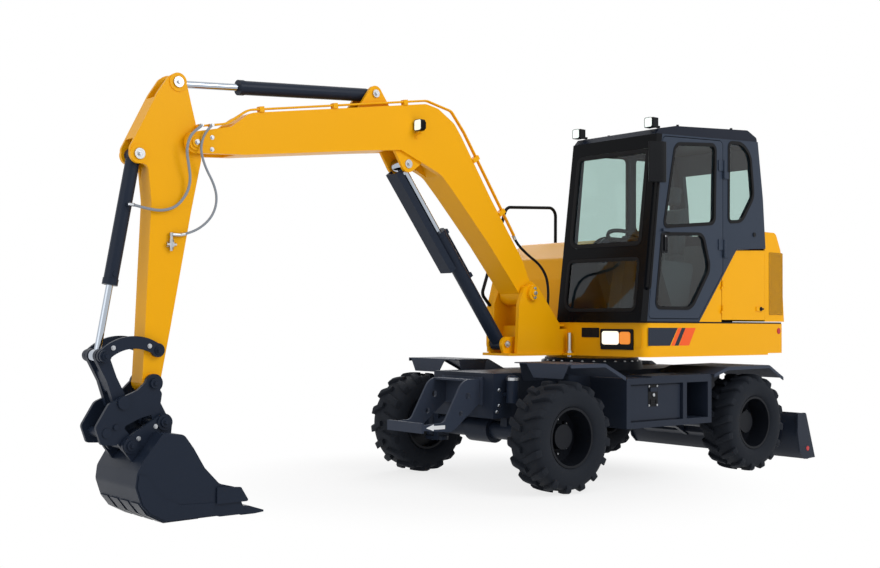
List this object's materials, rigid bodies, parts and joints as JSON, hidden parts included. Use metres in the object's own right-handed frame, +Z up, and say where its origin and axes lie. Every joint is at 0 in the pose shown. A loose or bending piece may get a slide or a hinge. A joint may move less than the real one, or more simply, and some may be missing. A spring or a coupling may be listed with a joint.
{
  "type": "wheeled excavator",
  "caption": "Compact wheeled excavator with a glazed cab, a bent boom, an arm with quick coupler and digging bucket, and a dozer blade at the back",
  "frame": {"origin": "centre of the machine's outline on the ground", "axes": "+X toward the bucket, +Y to the driver's left, +Z up"},
  "size_m": [6.399, 2.0128, 2.9668],
  "materials": {
    "yellow": "gloss paint",
    "frame_dark": "satin paint",
    "gear_dark": "satin paint",
    "cab_black": "satin paint",
    "rod_chrome": "polished",
    "tinted_glass": "tinted",
    "tyre_rubber": "matte",
    "hose_rubber": "matte"
  },
  "bodies": {
    "chassis": {"chassis_frame": "frame_dark", "swing_ring": "frame_dark", "front_axle": "frame_dark", "rear_axle": "frame_dark", "drive_line": "frame_dark", "fenders": "frame_dark", "step_boxes": "frame_dark", "front_bumper": "frame_dark", "steering_cylinder": "frame_dark"},
    "upper": {"upper_frame": "yellow", "swing_lock": "rod_chrome", "upper_seat": "frame_dark", "counterweight": "yellow", "engine_block": "frame_dark", "right_housing": "yellow", "left_fairing": "yellow", "cab_shell": "cab_black", "cab_glass": "tinted_glass", "cab_roof": "frame_dark", "seat": "cab_black", "console": "cab_black", "mirror": "cab_black", "handrails": "cab_black", "lamps": "cab_black"},
    "engine_door": {"engine_door": "yellow"},
    "rear_hood": {"rear_hood": "yellow"},
    "cab_door": {"cab_door": "cab_black", "door_glass": "tinted_glass"},
    "knuckle_left": {"knuckle_left": "frame_dark"},
    "knuckle_right": {"knuckle_right": "frame_dark"},
    "steering_rod": {"steering_rod": "rod_chrome"},
    "wheel_front_left": {"rim_front_left": "frame_dark", "tyre_front_left": "tyre_rubber"},
    "wheel_front_right": {"rim_front_right": "frame_dark", "tyre_front_right": "tyre_rubber"},
    "wheel_rear_left": {"rim_rear_left": "frame_dark", "tyre_rear_left": "tyre_rubber"},
    "wheel_rear_right": {"rim_rear_right": "frame_dark", "tyre_rear_right": "tyre_rubber"},
    "blade": {"blade": "frame_dark"},
    "blade_barrel": {"blade_barrel": "gear_dark"},
    "blade_rod": {"blade_rod": "rod_chrome"},
    "boom": {"boom": "yellow", "boom_tubes": "yellow", "boom_lamp": "yellow", "hose_foot": "hose_rubber"},
    "boom_barrel": {"boom_barrel": "gear_dark"},
    "boom_rod": {"boom_rod": "rod_chrome"},
    "arm": {"arm": "yellow", "arm_valve": "rod_chrome", "hose_bucket": "hose_rubber", "hose_valve": "hose_rubber"},
    "arm_barrel": {"arm_barrel": "gear_dark"},
    "arm_rod": {"arm_rod": "rod_chrome"},
    "bucket_barrel": {"bucket_barrel": "gear_dark"},
    "bucket_rod": {"bucket_rod": "rod_chrome"},
    "guide_links": {"guide_links": "gear_dark"},
    "bucket_link": {"bucket_link": "gear_dark"},
    "bucket": {"coupler": "gear_dark", "bucket": "gear_dark"}
  },
  "joints": [
    {"name": "swing", "type": "hinge", "parent": "chassis", "child": "upper", "pos_m": [-1.314, 0, 0.957], "axis": [0, 0, 1], "continuous": true},
    {"name": "boom_lift", "type": "hinge", "parent": "upper", "child": "boom", "pos_m": [-0.438, 0, 1.487], "axis": [0, -1, 0], "range_deg": [-55, 25]},
    {"name": "arm_in", "type": "hinge", "parent": "boom", "child": "arm", "pos_m": [2.556, 0, 2.396], "axis": [0, 1, 0], "range_deg": [-45, 55]},
    {"name": "bucket_curl", "type": "hinge", "parent": "arm", "child": "bucket", "pos_m": [2.822, 0, 0.855], "axis": [0, 1, 0], "range_deg": [-100, 60]},
    {"name": "guide_turn", "type": "hinge", "parent": "arm", "child": "guide_links", "pos_m": [2.794, 0, 1.061], "axis": [0, 1, 0], "range_deg": [-75, 46]},
    {"name": "link_turn", "type": "hinge", "parent": "guide_links", "child": "bucket_link", "pos_m": [3.152, 0, 1.029], "axis": [0, -1, 0], "range_deg": [-49, 30]},
    {"name": "boom_barrel_turn", "type": "hinge", "parent": "upper", "child": "boom_barrel", "pos_m": [-0.229, 0, 1.078], "axis": [0, -1, 0], "range_deg": [-54, 26]},
    {"name": "boom_rod_slide", "type": "slide", "parent": "boom_barrel", "child": "boom_rod", "axis": [0.6034, 0, 0.7974], "range_m": [-0.4052, 0.1853]},
    {"name": "arm_barrel_turn", "type": "hinge", "parent": "boom", "child": "arm_barrel", "pos_m": [1.089, 0, 2.909], "axis": [0, 1, 0], "range_deg": [-5, 6]},
    {"name": "arm_rod_slide", "type": "slide", "parent": "arm_barrel", "child": "arm_rod", "axis": [0.9966, 0, -0.0827], "range_m": [-0.2518, 0.3073]},
    {"name": "bucket_barrel_turn", "type": "hinge", "parent": "arm", "child": "bucket_barrel", "pos_m": [2.928, 0, 2.291], "axis": [0, -1, 0], "range_deg": [-3, 3]},
    {"name": "bucket_rod_slide", "type": "slide", "parent": "bucket_barrel", "child": "bucket_rod", "axis": [0.1748, 0, -0.9846], "range_m": [-0.3825, 0.2303]},
    {"name": "steer_left", "type": "hinge", "parent": "chassis", "child": "knuckle_left", "pos_m": [-0.074, 0.64, 0.412], "axis": [0, 0, 1], "range_deg": [-28, 28]},
    {"name": "steer_right", "type": "hinge", "parent": "chassis", "child": "knuckle_right", "pos_m": [-0.074, -0.64, 0.412], "axis": [0, 0, 1], "range_deg": [-28, 28]},
    {"name": "steer_rod_slide", "type": "slide", "parent": "chassis", "child": "steering_rod", "axis": [0, -1, 0], "range_m": [-0.073, 0.073]},
    {"name": "wheel_turn_front_left", "type": "hinge", "parent": "knuckle_left", "child": "wheel_front_left", "pos_m": [-0.074, 0.823, 0.412], "axis": [0, 1, 0], "continuous": true},
    {"name": "wheel_turn_front_right", "type": "hinge", "parent": "knuckle_right", "child": "wheel_front_right", "pos_m": [-0.074, -0.823, 0.412], "axis": [0, 1, 0], "continuous": true},
    {"name": "wheel_turn_rear_left", "type": "hinge", "parent": "chassis", "child": "wheel_rear_left", "pos_m": [-2.318, 0.823, 0.412], "axis": [0, 1, 0], "continuous": true},
    {"name": "wheel_turn_rear_right", "type": "hinge", "parent": "chassis", "child": "wheel_rear_right", "pos_m": [-2.318, -0.823, 0.412], "axis": [0, 1, 0], "continuous": true},
    {"name": "blade_lift", "type": "hinge", "parent": "chassis", "child": "blade", "pos_m": [-2.614, 0, 0.392], "axis": [0, 1, 0], "range_deg": [-15, 25]},
    {"name": "blade_barrel_turn", "type": "hinge", "parent": "chassis", "child": "blade_barrel", "pos_m": [-2.706, 0, 0.735], "axis": [0, 1, 0], "range_deg": [-6, 9]},
    {"name": "blade_rod_slide", "type": "slide", "parent": "blade_barrel", "child": "blade_rod", "axis": [0.4442, 0, 0.8959], "range_m": [-0.065, 0.108]},
    {"name": "cab_door_swing", "type": "hinge", "parent": "upper", "child": "cab_door", "pos_m": [-1.885, 0.962, 2], "axis": [0, 0, 1], "range_deg": [0, 150]},
    {"name": "engine_door_swing", "type": "hinge", "parent": "upper", "child": "engine_door", "pos_m": [-1.884, 0.945, 1.5], "axis": [0, 0, 1], "range_deg": [-100, 0]},
    {"name": "rear_hood_lift", "type": "hinge", "parent": "upper", "child": "rear_hood", "pos_m": [-2.4965, 0, 2.058], "axis": [0, 1, 0], "range_deg": [0, 60]}
  ],
  "couplings": [
    {"joint": "guide_turn", "follows": "bucket_curl", "ratio": 0.73},
    {"joint": "link_turn", "follows": "bucket_curl", "ratio": 0.47},
    {"joint": "boom_barrel_turn", "follows": "boom_lift", "ratio": 0.946},
    {"joint": "boom_rod_slide", "follows": "boom_lift", "m_per_rad": 0.42},
    {"joint": "arm_barrel_turn", "follows": "arm_in", "ratio": 0.082},
    {"joint": "arm_rod_slide", "follows": "arm_in", "m_per_rad": 0.318},
    {"joint": "bucket_barrel_turn", "follows": "bucket_curl", "ratio": 0.024},
    {"joint": "bucket_rod_slide", "follows": "bucket_curl", "m_per_rad": 0.218},
    {"joint": "steer_right", "follows": "steer_left", "ratio": 1},
    {"joint": "steer_rod_slide", "follows": "steer_left", "m_per_rad": 0.147},
    {"joint": "blade_barrel_turn", "follows": "blade_lift", "ratio": 0.322},
    {"joint": "blade_rod_slide", "follows": "blade_lift", "m_per_rad": 0.242}
  ]
}
